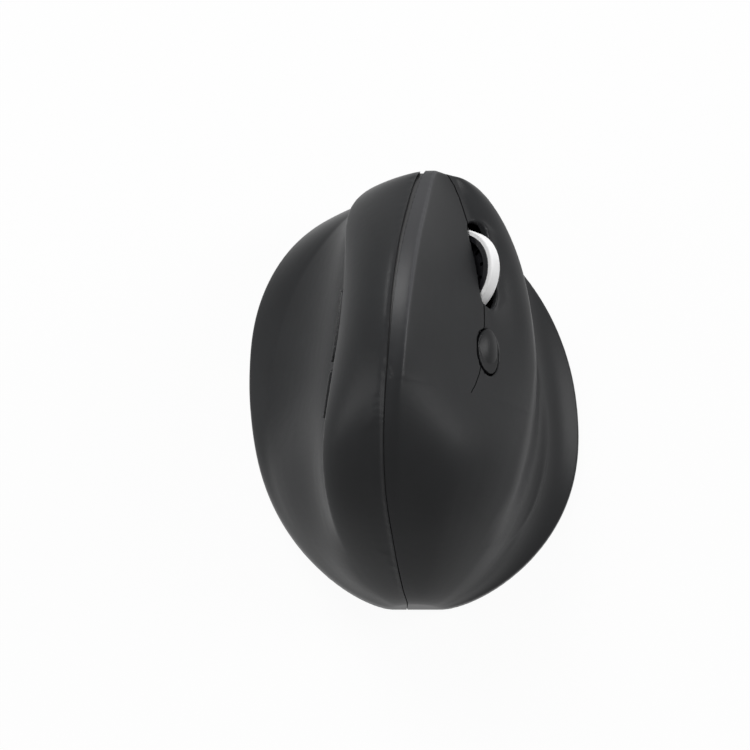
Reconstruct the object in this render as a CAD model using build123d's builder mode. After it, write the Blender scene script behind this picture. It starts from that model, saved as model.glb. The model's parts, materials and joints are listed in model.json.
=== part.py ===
from build123d import *
import math
import os

import numpy as np

os.makedirs("parts", exist_ok=True)

# Overall size of the body, in millimetres. +Y is the nose, +X the finger side
body_length = 114.0
body_width = 90.0
body_height = 65.0
foot_height = 0.8
rim_height = 2.8

# Walls and gaps of the mouldings
cover_wall = 2.0
seam_gap = 0.45
groove_front_gap = 1.5

# The body is drawn by feature lines that run from the nose to the tail.
# Each line has seven evenly spaced stations, as shares of half the width and of the height
rim_left_x_shares = (-0.02, -0.60, -0.936, -0.998, -0.853, -0.48, -0.05)
flange_x_shares = (-0.02, -0.39, -0.742, -0.882, -0.811, -0.458, -0.055)
flange_z_shares = (0.185, 0.262, 0.169, 0.138, 0.138, 0.108, 0.06)
thumb_x_shares = (0.0, -0.367, -0.422, -0.489, -0.544, -0.344, -0.05)
thumb_z_shares = (0.43, 0.492, 0.677, 0.769, 0.662, 0.308, 0.075)
groove_x_shares = (0.049, -0.013, -0.107, -0.167, -0.187, -0.107, -0.03)
groove_z_shares = (0.554, 0.662, 0.877, 0.985, 0.846, 0.446, 0.085)
ridge_x_shares = (0.133, 0.084, 0.0, -0.069, -0.096, -0.053, 0.005)
ridge_z_shares = (0.562, 0.671, 0.886, 0.994, 0.852, 0.449, 0.087)
wheel_x_shares = (0.222, 0.304, 0.429, 0.411, 0.267, 0.133, 0.03)
wheel_z_shares = (0.492, 0.462, 0.523, 0.631, 0.731, 0.415, 0.084)
shoulder_x_shares = (0.267, 0.489, 0.667, 0.711, 0.6, 0.311, 0.05)
shoulder_z_shares = (0.4, 0.369, 0.369, 0.369, 0.446, 0.292, 0.078)
lip_x_shares = (0.244, 0.411, 0.622, 0.769, 0.72, 0.422, 0.06)
lip_z_shares = (0.185, 0.185, 0.185, 0.192, 0.2, 0.154, 0.064)
rim_right_x_shares = (0.2, 0.4, 0.778, 0.982, 0.911, 0.54, 0.07)

# Bulge of each band between two lines, outwards where positive
band_bulge_shares = (0.15, -0.45, 0.45, 0.1, -0.12, 0.45, -0.3, -0.35)
# Stations where each crease starts and ends to fade into the smooth tail
crease_fade_shares = ((0.5, 0.62), (0.7, 0.76), (0.5, 0.62), (0.48, 0.58), (0.3, 0.45), (0.1, 0.5), (0.66, 0.8))
least_crease_share = 0.03
ridge_inset_share = 1.35
tail_share = 0.965
station_count = 13
station_shares = [tail_share * k / (station_count - 1) for k in range(station_count)]


def through(shares, t):
    """Value at t of the natural cubic curve through evenly spaced shares."""
    spans = len(shares) - 1
    system = np.eye(spans + 1)
    bends = np.zeros(spans + 1)
    for k in range(1, spans):
        system[k, k - 1:k + 2] = (1, 4, 1)
        bends[k] = 6 * (shares[k - 1] - 2 * shares[k] + shares[k + 1])
    bends = np.linalg.solve(system, bends)
    k = min(int(t * spans), spans - 1)
    u = t * spans - k
    v = 1 - u
    straight = v * shares[k] + u * shares[k + 1]
    return float(straight + (v ** 3 - v) * bends[k] / 6 + (u ** 3 - u) * bends[k + 1] / 6)


def station_y(t, inset=0):
    """Place along the body of the station at t."""
    reach = (body_length - 2 * inset) / (1 - math.cos(math.pi * tail_share))
    return body_length / 2 - inset - reach * (1 - math.cos(math.pi * t))


outline_samples = [tail_share * k / 100 for k in range(101)]


def side_extent(shares, pick):
    return pick(through(shares, t) for t in outline_samples)


half_width = body_width / (side_extent(rim_right_x_shares, max) - side_extent(rim_left_x_shares, min))
x_shift = -half_width * (side_extent(rim_right_x_shares, max) + side_extent(rim_left_x_shares, min)) / 2
z_top = side_extent(ridge_z_shares, max)


def line_point(x_shares, z_shares, t):
    """Point of a feature line in the plane of its station."""
    return Vector(x_shift + half_width * through(x_shares, t), body_height * through(z_shares, t) / z_top)


def section_points(t, inset=0, drop=0):
    """Corners of one cross-section, from the left rim over the top to the right rim."""
    rim_top = foot_height + rim_height
    left = x_shift + half_width * through(rim_left_x_shares, t)
    right = x_shift + half_width * through(rim_right_x_shares, t)
    points = [
        Vector(left, foot_height),
        Vector(left, rim_top),
        line_point(flange_x_shares, flange_z_shares, t),
        line_point(thumb_x_shares, thumb_z_shares, t),
        line_point(groove_x_shares, groove_z_shares, t),
        line_point(ridge_x_shares, ridge_z_shares, t),
        line_point(wheel_x_shares, wheel_z_shares, t),
        line_point(shoulder_x_shares, shoulder_z_shares, t),
        line_point(lip_x_shares, lip_z_shares, t),
        Vector(right, rim_top),
        Vector(right, foot_height),
    ]
    moved = list(points)
    for k in range(2, 9):
        tangent = (points[k + 1] - points[k - 1]).normalized()
        depth = inset
        if k in (4, 5):
            tangent = (points[6] - points[3]).normalized()
            depth = inset * ridge_inset_share
        moved[k] = points[k] + Vector(tangent.Y, -tangent.X) * depth
    for k, side in ((0, 1), (1, 1), (9, -1), (10, -1)):
        moved[k] = points[k] + Vector(side * inset, 0)
    moved[0] = moved[0] - Vector(0, drop)
    moved[10] = moved[10] - Vector(0, drop)
    return moved


def fade(t, start, end):
    u = min(max((t - start) / (end - start), 0), 1)
    return 1 - u * u * (3 - 2 * u)


def band_handles(points, k, t):
    """Bezier handles of the band between corner k and the next one."""
    chord = points[k + 1] - points[k]
    outward = Vector(-chord.Y, chord.X)
    bulge = outward * band_bulge_shares[k - 1]
    handles = []
    for corner, side in ((k, 1), (k + 1, -1)):
        sharp = chord + bulge * side
        if 2 <= corner <= 8:
            soft = (points[corner + 1] - points[corner - 1]).normalized() * chord.length
            crease = max(fade(t, *crease_fade_shares[corner - 2]), least_crease_share)
        else:
            soft = sharp
            crease = 1
        aim = sharp * crease + soft * (1 - crease)
        handles.append(points[corner] + aim * side / 3)
    return handles


def body_form(inset=0, drop=0):
    """The closed body, or the same form drawn inside it by the inset."""
    with BuildPart() as form:
        for t in station_shares:
            points = section_points(t, inset, drop)
            with BuildSketch(Plane.XZ.offset(-station_y(t, inset))):
                with BuildLine():
                    Line(points[0], points[1])
                    for k in range(1, 9):
                        first, second = band_handles(points, k, t)
                        Bezier(points[k], first, second, points[k + 1])
                    Line(points[9], points[10])
                    Line(points[10], points[0])
                make_face()
        loft()
    return form.part


def body_point(x_shares, z_shares, t):
    """Point of a feature line in space."""
    flat = line_point(x_shares, z_shares, t)
    return Vector(flat.X, station_y(t), flat.Y)


# The finger plane lies on the slope under the fingers, at the wheel.
# Its x axis runs forward along the wheel, its y axis up the slope, its z axis out of the body
wheel_station_share = 0.31
wheel_ahead_share = 0.22
wheel_behind_share = 0.40
wheel_spot = body_point(wheel_x_shares, wheel_z_shares, wheel_station_share)
wheel_ahead = body_point(wheel_x_shares, wheel_z_shares, wheel_ahead_share)
wheel_behind = body_point(wheel_x_shares, wheel_z_shares, wheel_behind_share)
ridge_spot = body_point(ridge_x_shares, ridge_z_shares, wheel_station_share)
forward = (wheel_ahead - wheel_behind).normalized()
finger_plane = Plane(wheel_spot, x_dir=forward, z_dir=forward.cross(ridge_spot - wheel_spot))

# Keys
key_depth = 9.0
key_reach = 24.0
key_tuck = 2.6
key_close_shares = (0.3, 0.4)
key_room = 1.0
flex_gap = 0.12
seam_lift = 2.2
seam_end_lift = 1.8
seam_station_shares = (0.0, 0.1, 0.2, 0.31, 0.42, 0.5)
seam_end_share = 0.535

# Wheel
wheel_diameter = 25.0
wheel_width = 5.0
wheel_rise = 4.8
wheel_slot_length = 26.0
wheel_slot_width = 7.2

# Button behind the wheel that changes the pointer speed
speed_button_length = 12.2
speed_button_width = 8.0
speed_button_rise = 0.5
speed_button_share = 0.463
button_gap = 0.35


def finger_spot(x_shares, z_shares, t, lift=0):
    """Place of a feature line on the finger plane."""
    local = finger_plane.to_local_coords(body_point(x_shares, z_shares, t))
    return Vector(local.X, local.Y + lift)


def seam_spots(shift):
    """Places along the seam between the two keys, from beyond the nose to its end."""
    lift = shift + seam_lift
    spots = [finger_spot(wheel_x_shares, wheel_z_shares, t, lift) for t in seam_station_shares]
    start = spots[0] + Vector(key_depth, 0)
    end = finger_spot(wheel_x_shares, wheel_z_shares, seam_end_share, lift + seam_end_lift)
    return [start, *spots, end]


def shoulder_spots(gap):
    """Places along the low edge of the right key, tucked under the shoulder of the slope."""
    spots = []
    for t in seam_station_shares:
        closing = fade(t, *key_close_shares)
        low = key_tuck + flex_gap / 2 * math.copysign(1, gap) + (gap - flex_gap / 2 * math.copysign(1, gap)) * closing
        spots.append(finger_spot(shoulder_x_shares, shoulder_z_shares, t, -low))
    return spots


def key_region(side, gap):
    """Solid over the finger slope that takes in one key, grown by the gap on all its cut sides."""
    spots = seam_spots(-side * gap)
    front = spots[0]
    rear = spots[-1] - Vector(math.copysign(flex_gap / 2, gap), 0)
    room = key_room if gap > 0 else 0
    with BuildPart() as region:
        with BuildSketch(finger_plane.offset(-key_depth - room)):
            with BuildLine():
                Spline(*spots[:-1], rear)
                if side > 0:
                    Polyline(rear, (rear.X, body_height), (front.X, body_height), front)
                else:
                    edge = shoulder_spots(gap)
                    corner = Vector(rear.X, edge[-1].Y)
                    nose = Vector(front.X, edge[0].Y)
                    Line(rear, corner)
                    Polyline(corner, *edge[-2::-1], nose)
                    Line(nose, front)
            make_face()
        extrude(amount=key_depth + key_reach)
    return region.part


# Whole shell of the body, cut along the groove between the thumb strip and the keys
outer_form = body_form(0, cover_wall)
hollow_form = body_form(cover_wall, 2 * cover_wall)
underside = Plane.XY.offset(foot_height)
with BuildPart() as shell:
    add(outer_form)
    add(hollow_form, mode=Mode.SUBTRACT)
    split(bisect_by=underside, keep=Keep.TOP)

groove_close_share = 0.55
groove_overrun = 3 * cover_wall


def groove_width(t):
    closing = min(t / groove_close_share, 1)
    return groove_front_gap + (seam_gap - groove_front_gap) * closing


def groove_edge(side):
    """One edge of the groove in plan, from beyond the nose to beyond the tail."""
    spots = []
    for t in station_shares:
        middle = body_point(groove_x_shares, groove_z_shares, t)
        spots.append(Vector(middle.X + side * groove_width(t) / 2, middle.Y))
    return [spots[0] + Vector(0, groove_overrun), *spots, spots[-1] - Vector(0, groove_overrun)]


# Curtain that stands along the groove line, through the whole height
left_edge = groove_edge(-1)
right_edge = groove_edge(1)
with BuildPart() as groove:
    with BuildSketch(Plane.XY):
        with BuildLine():
            Spline(*left_edge)
            Line(left_edge[-1], right_edge[-1])
            Spline(*right_edge[::-1])
            Line(right_edge[0], left_edge[0])
        make_face()
    extrude(amount=body_height + cover_wall)

with BuildPart() as halves:
    add(shell.part)
    add(groove.part, mode=Mode.SUBTRACT)

thumb_half, finger_half = halves.part.solids().sort_by(Axis.X)


def save(part, label):
    """Label one sub-part and write it."""
    part.label = label
    export_step(part, f"parts/{label}.step")


# Base plate sizes, used by all that stands on it
base_wall = 2.0
base_gap = 0.15
base_top = foot_height + base_wall

# Screws that hold the covers to the base, from below
screw_radius = 1.0
screw_head_radius = 1.9
screw_head_height = 1.1
screw_length = 7.6
head_clearance = 0.2
boss_radius = 2.8
thumb_screw_shares = ((-0.69, 0.46), (-0.67, -0.46))
palm_screw_shares = ((0.53, -0.6), (0.66, -0.2))

# Snap switches under the keys, on a board below the finger slope
board_depth = 13.0
board_wall = 1.2
switch_length = 12.8
switch_width = 5.8
switch_height = 6.5
plunger_length = 2.9
plunger_width = 1.2
plunger_rise = 0.7
plunger_root = 1.5
plunger_gap = 0.15
press_gap = 0.15
nib_radius = 1.4
left_switch_x = 6.0
left_switch_y = 12.0
right_switch_x = 0.0
right_switch_y = -9.6
key_turn = 0.6

# Small push switches
push_size = 6.0
push_height = 3.6
push_plunger_radius = 1.5
push_plunger_rise = 0.8

# Travels
button_travel = 0.6
cradle_turn = 1.2

switch_top = -board_depth + switch_height
plunger_top = switch_top + plunger_rise
push_top = -board_depth + push_height
push_plunger_top = push_top + push_plunger_rise

form_core = body_form(cover_wall / 2)


def cover_bosses(shares):
    """Screw bosses that stand on the base plate and run up into one cover."""
    with BuildPart() as bosses:
        with BuildSketch(Plane.XY.offset(base_top)):
            for x_share, y_share in shares:
                with Locations((x_share * body_width / 2, y_share * body_length / 2)):
                    Circle(boss_radius)
        extrude(amount=body_height)
        add(form_core, mode=Mode.INTERSECT)
        add(groove.part, mode=Mode.SUBTRACT)
    return bosses.part


def screw_holes(shares):
    """Threaded holes for the cover screws."""
    with BuildPart() as holes:
        with BuildSketch(Plane.XY.offset(base_top)):
            for x_share, y_share in shares:
                with Locations((x_share * body_width / 2, y_share * body_length / 2)):
                    Circle(screw_radius)
        extrude(amount=screw_length - base_wall + screw_head_height + head_clearance)
    return holes.part


def finger_column(x, y, radius, low):
    """Round column that stands square to the finger plane, from its low end up into the cover."""
    with BuildPart() as column:
        with BuildSketch(finger_plane.offset(low)):
            with Locations((x, y)):
                Circle(radius)
        extrude(amount=key_reach)
        add(form_core, mode=Mode.INTERSECT)
    return column.part


def wheel_slot(gap=0):
    with BuildPart() as slot:
        with BuildSketch(finger_plane.offset(-key_depth - seam_gap)):
            SlotOverall(wheel_slot_length + 2 * gap, wheel_slot_width + 2 * gap)
        extrude(amount=2 * key_reach)
    return slot.part


speed_spot = finger_spot(wheel_x_shares, wheel_z_shares, speed_button_share)


def speed_button_region(gap=0):
    """Oval column through the slope where the speed button sits."""
    with BuildPart() as region:
        with BuildSketch(finger_plane.offset(-key_depth - seam_gap)):
            with Locations(speed_spot):
                Ellipse(speed_button_length / 2 + gap, speed_button_width / 2 + gap)
        extrude(amount=2 * key_reach)
    return region.part


# Palm cover, with the wall that runs down the finger side and round the nose
left_key_opening = key_region(1, seam_gap / 2)
right_key_opening = key_region(-1, seam_gap / 2)
palm_bosses = cover_bosses(palm_screw_shares)
palm_screw_holes = screw_holes(palm_screw_shares)
with BuildPart() as palm_cover:
    add(finger_half)
    add(left_key_opening, mode=Mode.SUBTRACT)
    add(right_key_opening, mode=Mode.SUBTRACT)
    add(palm_bosses)
    add(palm_screw_holes, mode=Mode.SUBTRACT)
save(palm_cover.part, "palm_cover")

# Keys
wheel_opening = wheel_slot()
speed_button_opening = speed_button_region(button_gap)
key_switches = ((1, left_switch_x, left_switch_y, "left_key"), (-1, right_switch_x, right_switch_y, "right_key"))
for side, switch_x, switch_y, label in key_switches:
    key_shape = key_region(side, -seam_gap / 2)
    nib = finger_column(switch_x, switch_y, nib_radius, plunger_top + press_gap)
    with BuildPart() as key:
        add(finger_half)
        add(key_shape, mode=Mode.INTERSECT)
        add(wheel_opening, mode=Mode.SUBTRACT)
        add(speed_button_opening, mode=Mode.SUBTRACT)
        add(nib)
    save(key.part, label)

# Side buttons, just under the crease of the thumb strip
side_button_height = 7.0
side_button_drop = 1.3
side_button_rise = 0.8
side_button_corner = 1.2
side_nib_radius = 1.5
forward_button_shares = (0.372, 0.425, 0.483)
back_button_shares = (0.5, 0.53, 0.568)
side_board_x = -11.0
side_board_wall = 1.2
side_board_height = 13.0
side_board_lift = 1.0
side_board_shares = (0.355, 0.6)
side_post_radius = 2.2
side_screw_radius = 0.8


def crease_spots(stations, drop):
    """Places along the thumb crease, seen from the side, a set drop below it."""
    spots = []
    for t in stations:
        crease = line_point(thumb_x_shares, thumb_z_shares, t)
        spots.append(Vector(station_y(t), crease.Y - drop))
    return spots


def side_button_region(stations, gap=0):
    """Column across the thumb wall in the outline of one side button."""
    upper = crease_spots(stations, side_button_drop)
    lower = crease_spots(stations, side_button_drop + side_button_height)
    with BuildPart() as region:
        with BuildSketch(Plane.YZ.offset(-body_width / 2)) as outline:
            with BuildLine():
                ThreePointArc(*upper)
                Line(upper[-1], lower[-1])
                ThreePointArc(*lower[::-1])
                Line(lower[0], upper[0])
            make_face()
            fillet(outline.vertices(), side_button_corner)
            if gap:
                offset(amount=gap)
        extrude(amount=body_width / 2 + side_board_x)
    return region.part


def side_middle(stations):
    """Middle of a side button, seen from the side."""
    return crease_spots(stations, side_button_drop + side_button_height / 2)[1]


# Low edge of the side board, under the two buttons
side_board_front = station_y(side_board_shares[0])
side_board_rear = station_y(side_board_shares[1])
side_board_low = side_middle(back_button_shares).Y - side_board_height + side_board_lift
side_board_middle = Vector((side_board_front + side_board_rear) / 2, side_board_low + side_board_height / 2)
side_post_spots = (
    (side_board_front - 2 * side_post_radius, side_board_low + side_post_radius),
    (side_board_rear + side_post_radius, side_board_low + side_post_radius),
)

# Thumb cover, with the openings of the side buttons and the posts of their board
thumb_bosses = cover_bosses(thumb_screw_shares)
thumb_screw_holes = screw_holes(thumb_screw_shares)
side_openings = [side_button_region(stations, button_gap) for stations in (forward_button_shares, back_button_shares)]
with BuildPart() as side_posts:
    with BuildSketch(Plane.YZ.offset(side_board_x)):
        with Locations(*side_post_spots):
            Circle(side_post_radius)
    extrude(amount=-body_width / 2)
    add(form_core, mode=Mode.INTERSECT)
with BuildPart() as thumb_cover:
    add(thumb_half)
    for opening in side_openings:
        add(opening, mode=Mode.SUBTRACT)
    add(side_posts.part)
    add(thumb_bosses)
    add(thumb_screw_holes, mode=Mode.SUBTRACT)
    with BuildSketch(Plane.YZ.offset(side_board_x)):
        with Locations(*side_post_spots):
            Circle(side_screw_radius)
    extrude(amount=-2 * side_post_radius, mode=Mode.SUBTRACT)
save(thumb_cover.part, "thumb_cover")

# Forward and back buttons
proud_form = body_form(-side_button_rise)
inner_form = body_form(cover_wall)
push_face_x = side_board_x - push_height - push_plunger_rise
side_switches = (("forward", forward_button_shares), ("back", back_button_shares))
for name, stations in side_switches:
    button_shape = side_button_region(stations)
    middle = side_middle(stations)
    with BuildPart() as side_nib:
        with BuildSketch(Plane.YZ.offset(push_face_x - press_gap)):
            with Locations((middle.X, middle.Y)):
                Circle(side_nib_radius)
        extrude(amount=-body_width / 2)
        add(form_core, mode=Mode.INTERSECT)
    with BuildPart() as side_button:
        add(proud_form)
        add(inner_form, mode=Mode.SUBTRACT)
        add(button_shape, mode=Mode.INTERSECT)
        add(side_nib.part)
    save(side_button.part, f"{name}_button")

# Speed button
risen_form = body_form(-speed_button_rise)
speed_button_shape = speed_button_region()
speed_button_stem = finger_column(speed_spot.X, speed_spot.Y, push_plunger_radius, push_plunger_top + press_gap)
with BuildPart() as speed_button:
    add(risen_form)
    add(inner_form, mode=Mode.SUBTRACT)
    add(speed_button_shape, mode=Mode.INTERSECT)
    add(speed_button_stem)
save(speed_button.part, "speed_button")


# Push switches: a square body with a round plunger in its top, on the plane that they stand on
def push_switch(plane, spot, label):
    with BuildPart() as body:
        with BuildSketch(plane):
            with Locations(spot):
                RectangleRounded(push_size, push_size, push_size / 10)
        extrude(amount=push_height)
        with BuildSketch(plane.offset(push_height)):
            with Locations(spot):
                Circle(push_plunger_radius + plunger_gap)
        extrude(amount=-push_height / 2, mode=Mode.SUBTRACT)
    save(body.part, f"{label}_switch")
    root = push_height / 2 - button_travel - press_gap
    with BuildPart() as plunger:
        with BuildSketch(plane.offset(push_height - root)):
            with Locations(spot):
                Circle(push_plunger_radius)
        extrude(amount=root + push_plunger_rise)
    save(plunger.part, f"{label}_plunger")


# Snap switches: a long body whose plunger the key presses
finger_axis = Axis(finger_plane.origin, finger_plane.z_dir)


def snap_switch(spot, label):
    with BuildPart() as body:
        with BuildSketch(finger_plane.offset(-board_depth)):
            with Locations(spot):
                Rectangle(switch_length, switch_width)
        extrude(amount=switch_height)
        chamfer(body.faces().sort_by(finger_axis)[-1].edges(), plunger_gap)
        with BuildSketch(finger_plane.offset(switch_top)):
            with Locations(spot):
                Rectangle(plunger_width + 2 * plunger_gap, plunger_length + 2 * plunger_gap)
        extrude(amount=-switch_height / 2, mode=Mode.SUBTRACT)
    save(body.part, f"{label}_switch")
    with BuildPart() as plunger:
        with BuildSketch(finger_plane.offset(switch_top - plunger_root)):
            with Locations(spot):
                Rectangle(plunger_width, plunger_length)
        extrude(amount=plunger_root + plunger_rise)
    save(plunger.part, f"{label}_plunger")


click_switch_x = -17.7
side_plane = Plane((side_board_x, 0, 0), x_dir=(0, -1, 0), z_dir=(-1, 0, 0))
snap_switch((left_switch_x, left_switch_y), "left")
snap_switch((right_switch_x, right_switch_y), "right")
board_plane = finger_plane.offset(-board_depth)
push_switch(board_plane, (speed_spot.X, speed_spot.Y), "speed")
push_switch(board_plane, (click_switch_x, 0), "wheel")
for name, stations in side_switches:
    middle = side_middle(stations)
    push_switch(side_plane, (-middle.X, middle.Y), name)

# Wheel, with its tyre, hub and axle, turning about the finger plane's y axis
wheel_depth = wheel_diameter / 2 - wheel_rise
tyre_wall = 1.9
tyre_round = 0.6
hub_rim_wall = 1.4
hub_web_wall = 1.6
hub_boss_radius = 3.0
hub_side = 0.3
axle_radius = 1.0
running_gap = 0.05
cheek_gap = 0.35
cheek_wall = 1.2
wheel_window_count = 12
wheel_window_radius = 0.9
wheel_middle = finger_plane.from_local_coords((0, 0, -wheel_depth))
wheel_plane = Plane(wheel_middle, x_dir=finger_plane.x_dir, z_dir=finger_plane.y_dir * -1)
tyre_inner = wheel_diameter / 2 - tyre_wall
hub_width = wheel_width + 2 * hub_side
cheek_inner = hub_width / 2 + cheek_gap
cheek_outer = cheek_inner + cheek_wall

with BuildPart() as wheel_tyre:
    with BuildSketch(wheel_plane.offset(-wheel_width / 2)):
        Circle(wheel_diameter / 2)
        Circle(tyre_inner, mode=Mode.SUBTRACT)
    extrude(amount=wheel_width)
    fillet(wheel_tyre.edges().filter_by(GeomType.CIRCLE).group_by(SortBy.RADIUS)[-1], tyre_round)
save(wheel_tyre.part, "wheel_tyre")

with BuildPart() as wheel_hub:
    with BuildSketch(wheel_plane.offset(-hub_width / 2)):
        Circle(tyre_inner)
        Circle(tyre_inner - hub_rim_wall, mode=Mode.SUBTRACT)
        Circle(hub_boss_radius)
    extrude(amount=hub_width)
    with BuildSketch(wheel_plane.offset(-hub_web_wall / 2)):
        Circle(tyre_inner - hub_rim_wall / 2)
    extrude(amount=hub_web_wall)
    with BuildSketch(wheel_plane.offset(-hub_width / 2)):
        Circle(axle_radius)
        with PolarLocations(tyre_inner - hub_rim_wall - 2 * wheel_window_radius, wheel_window_count):
            RectangleRounded(2 * wheel_window_radius, wheel_window_radius, wheel_window_radius / 3)
    extrude(amount=hub_width, mode=Mode.SUBTRACT)
save(wheel_hub.part, "wheel_hub")

with BuildPart() as wheel_axle:
    with BuildSketch(wheel_plane.offset(-cheek_outer)):
        Circle(axle_radius)
    extrude(amount=2 * cheek_outer)
save(wheel_axle.part, "wheel_axle")

# Wheel cradle: two cheeks joined at both ends, hinged at the front, with a finger over the click switch
cradle_pivot_x = 15.2
cradle_pivot_depth = 9.6
cradle_pin_radius = 0.8
cradle_end_size = 3.2
cradle_top = -6.4
cradle_low = -11.0
cradle_tail_x = -14.2
cradle_bar_wall = 1.2
ear_gap = 0.35
ear_wall = 1.4
finger_width = 3.0
cradle_pivot_z = -cradle_pivot_depth
click_top = push_plunger_top + press_gap
cradle_profile_low = cradle_low + wheel_depth
cradle_profile_top = cradle_top + wheel_depth
with BuildPart() as wheel_cradle:
    for side in (-1, 1):
        start = cheek_inner if side > 0 else -cheek_outer
        with BuildSketch(wheel_plane.offset(start)) as cheek:
            with BuildLine():
                Polyline(
                    (cradle_tail_x, cradle_profile_low),
                    (cradle_pivot_x, cradle_profile_low),
                    (cradle_pivot_x, cradle_profile_top),
                    (cradle_tail_x, cradle_profile_top),
                    close=True,
                )
            make_face()
        extrude(amount=cheek_wall)
    with BuildSketch(finger_plane.offset(cradle_low)):
        with Locations((cradle_pivot_x, 0)):
            Rectangle(cradle_end_size, 2 * cheek_outer)
        with Locations((cradle_tail_x + cradle_bar_wall / 2, 0)):
            Rectangle(cradle_bar_wall, 2 * cheek_outer)
    extrude(amount=cradle_top - cradle_low)
    with BuildSketch(finger_plane.offset(click_top)):
        with Locations((click_switch_x, 0)):
            Rectangle(2 * (cradle_tail_x - click_switch_x), finger_width)
    extrude(amount=cradle_top - click_top)
    with BuildSketch(wheel_plane.offset(-cheek_outer)):
        Circle(axle_radius + running_gap)
        with Locations((cradle_pivot_x, cradle_pivot_z + wheel_depth)):
            Circle(cradle_pin_radius + running_gap)
    extrude(amount=2 * cheek_outer, mode=Mode.SUBTRACT)
save(wheel_cradle.part, "wheel_cradle")

with BuildPart() as wheel_pivot_pin:
    with BuildSketch(wheel_plane.offset(-cheek_outer - ear_gap - ear_wall)):
        with Locations((cradle_pivot_x, cradle_pivot_z + wheel_depth)):
            Circle(cradle_pin_radius)
    extrude(amount=2 * (cheek_outer + ear_gap + ear_wall))
save(wheel_pivot_pin.part, "wheel_pivot_pin")

# Pair of parts that read the turn of the wheel through its windows
reader_x = -8.6
reader_length = 3.6
reader_width = 2.0
reader_height = 2.6
for side, label in ((1, "wheel_emitter"), (-1, "wheel_detector")):
    with BuildPart() as reader:
        with BuildSketch(board_plane):
            with Locations((reader_x, side * (cheek_outer + ear_gap + reader_width / 2))):
                Rectangle(reader_length, reader_width)
        extrude(amount=reader_height)
    save(reader.part, label)

# Switch board under the keys, notched for the wheel
board_front = 12.8
board_rear = speed_spot.X - push_size
board_upper = left_switch_y + switch_width
board_lower = right_switch_y - switch_width / 2 - plunger_gap
notch_half = cheek_outer + ear_gap / 2
notch_rear = -wheel_diameter / 2
with BuildPart() as switch_board:
    with BuildSketch(finger_plane.offset(-board_depth - board_wall)):
        with BuildLine():
            Polyline(
                (board_front, notch_half), (board_front, board_upper), (board_rear, board_upper),
                (board_rear, board_lower), (board_front, board_lower), (board_front, -notch_half),
                (notch_rear, -notch_half), (notch_rear, notch_half), close=True,
            )
        make_face()
    extrude(amount=board_wall)
save(switch_board.part, "switch_board")

# Key frame: a deck under the switch board on two webs that stand on the base plate
deck_wall = 1.8
deck_front = cradle_pivot_x + cradle_end_size
web_wall = 2.0
front_web_share = 0.77
rear_web_share = 0.02
tab_length = 7.0
frame_screw_radius = 0.8
frame_screw_head_radius = 1.5
frame_screw_head_height = 1.2
deck_plane = finger_plane.offset(-board_depth - board_wall - deck_wall)
webs = (
    (front_web_share * body_length / 2, -0.12, 0.2, -1, -0.06),
    (rear_web_share * body_length / 2, 0.1, 0.42, 1, 0.18),
)
frame_screw_spots = [(share * body_width / 2, y + side * (web_wall / 2 + tab_length / 2)) for y, _, _, side, share in webs]
with BuildPart() as key_frame:
    with BuildSketch(Plane.XY.offset(base_top)):
        for y, left_share, right_share, side, tab_share in webs:
            width = (right_share - left_share) * body_width / 2
            with Locations(((left_share + right_share) * body_width / 4, y)):
                Rectangle(width, web_wall)
    extrude(amount=body_height)
    split(bisect_by=deck_plane.offset(deck_wall / 2), keep=Keep.BOTTOM)
    with BuildSketch(Plane.XY.offset(base_top)):
        for y, left_share, right_share, side, tab_share in webs:
            with Locations((tab_share * body_width / 2, y + side * (tab_length + web_wall) / 2)):
                Rectangle(tab_length, tab_length + web_wall)
    extrude(amount=base_wall)
    with BuildSketch(deck_plane):
        with Locations(((deck_front + board_rear) / 2, (board_upper + board_lower) / 2)):
            Rectangle(deck_front - board_rear, board_upper - board_lower)
        with Locations((0, 0)):
            Rectangle(wheel_diameter, 2 * notch_half, mode=Mode.SUBTRACT)
    extrude(amount=deck_wall)
    with BuildSketch(deck_plane):
        for side in (-1, 1):
            with Locations((cradle_pivot_x, side * (cheek_outer + ear_gap + ear_wall / 2))):
                Rectangle(cradle_end_size, ear_wall)
    extrude(amount=board_depth + board_wall + deck_wall - cradle_pivot_depth + 2 * cradle_pin_radius)
    with BuildSketch(wheel_plane.offset(-board_upper)):
        with Locations((cradle_pivot_x, cradle_pivot_z + wheel_depth)):
            Circle(cradle_pin_radius)
    extrude(amount=2 * board_upper, mode=Mode.SUBTRACT)
    with BuildSketch(Plane.XY.offset(base_top)):
        with Locations(*frame_screw_spots):
            Circle(frame_screw_radius)
    extrude(amount=base_wall, mode=Mode.SUBTRACT)
save(key_frame.part, "key_frame")

# Side board with its screws
with BuildPart() as side_board:
    with BuildSketch(Plane.YZ.offset(side_board_x)):
        with Locations((side_board_middle.X, side_board_middle.Y)):
            Rectangle(side_board_front - side_board_rear, side_board_height)
        with Locations(*side_post_spots):
            Circle(side_screw_radius, mode=Mode.SUBTRACT)
    extrude(amount=side_board_wall)
save(side_board.part, "side_board")


def screw_set(plane, spots, shank_radius, shank_length, head_radius, head_height, label):
    """Pan-head screws whose heads stand on the plane and whose shanks run down from it."""
    with BuildPart() as screws:
        with BuildSketch(plane):
            with Locations(*spots):
                Circle(head_radius)
        extrude(amount=head_height)
        with BuildSketch(plane):
            with Locations(*spots):
                Circle(shank_radius)
        extrude(amount=-shank_length)
        with BuildSketch(plane.offset(head_height)):
            with Locations(*spots):
                RegularPolygon(shank_radius, 6)
        extrude(amount=-head_height / 2, mode=Mode.SUBTRACT)
    save(screws.part, label)


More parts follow.
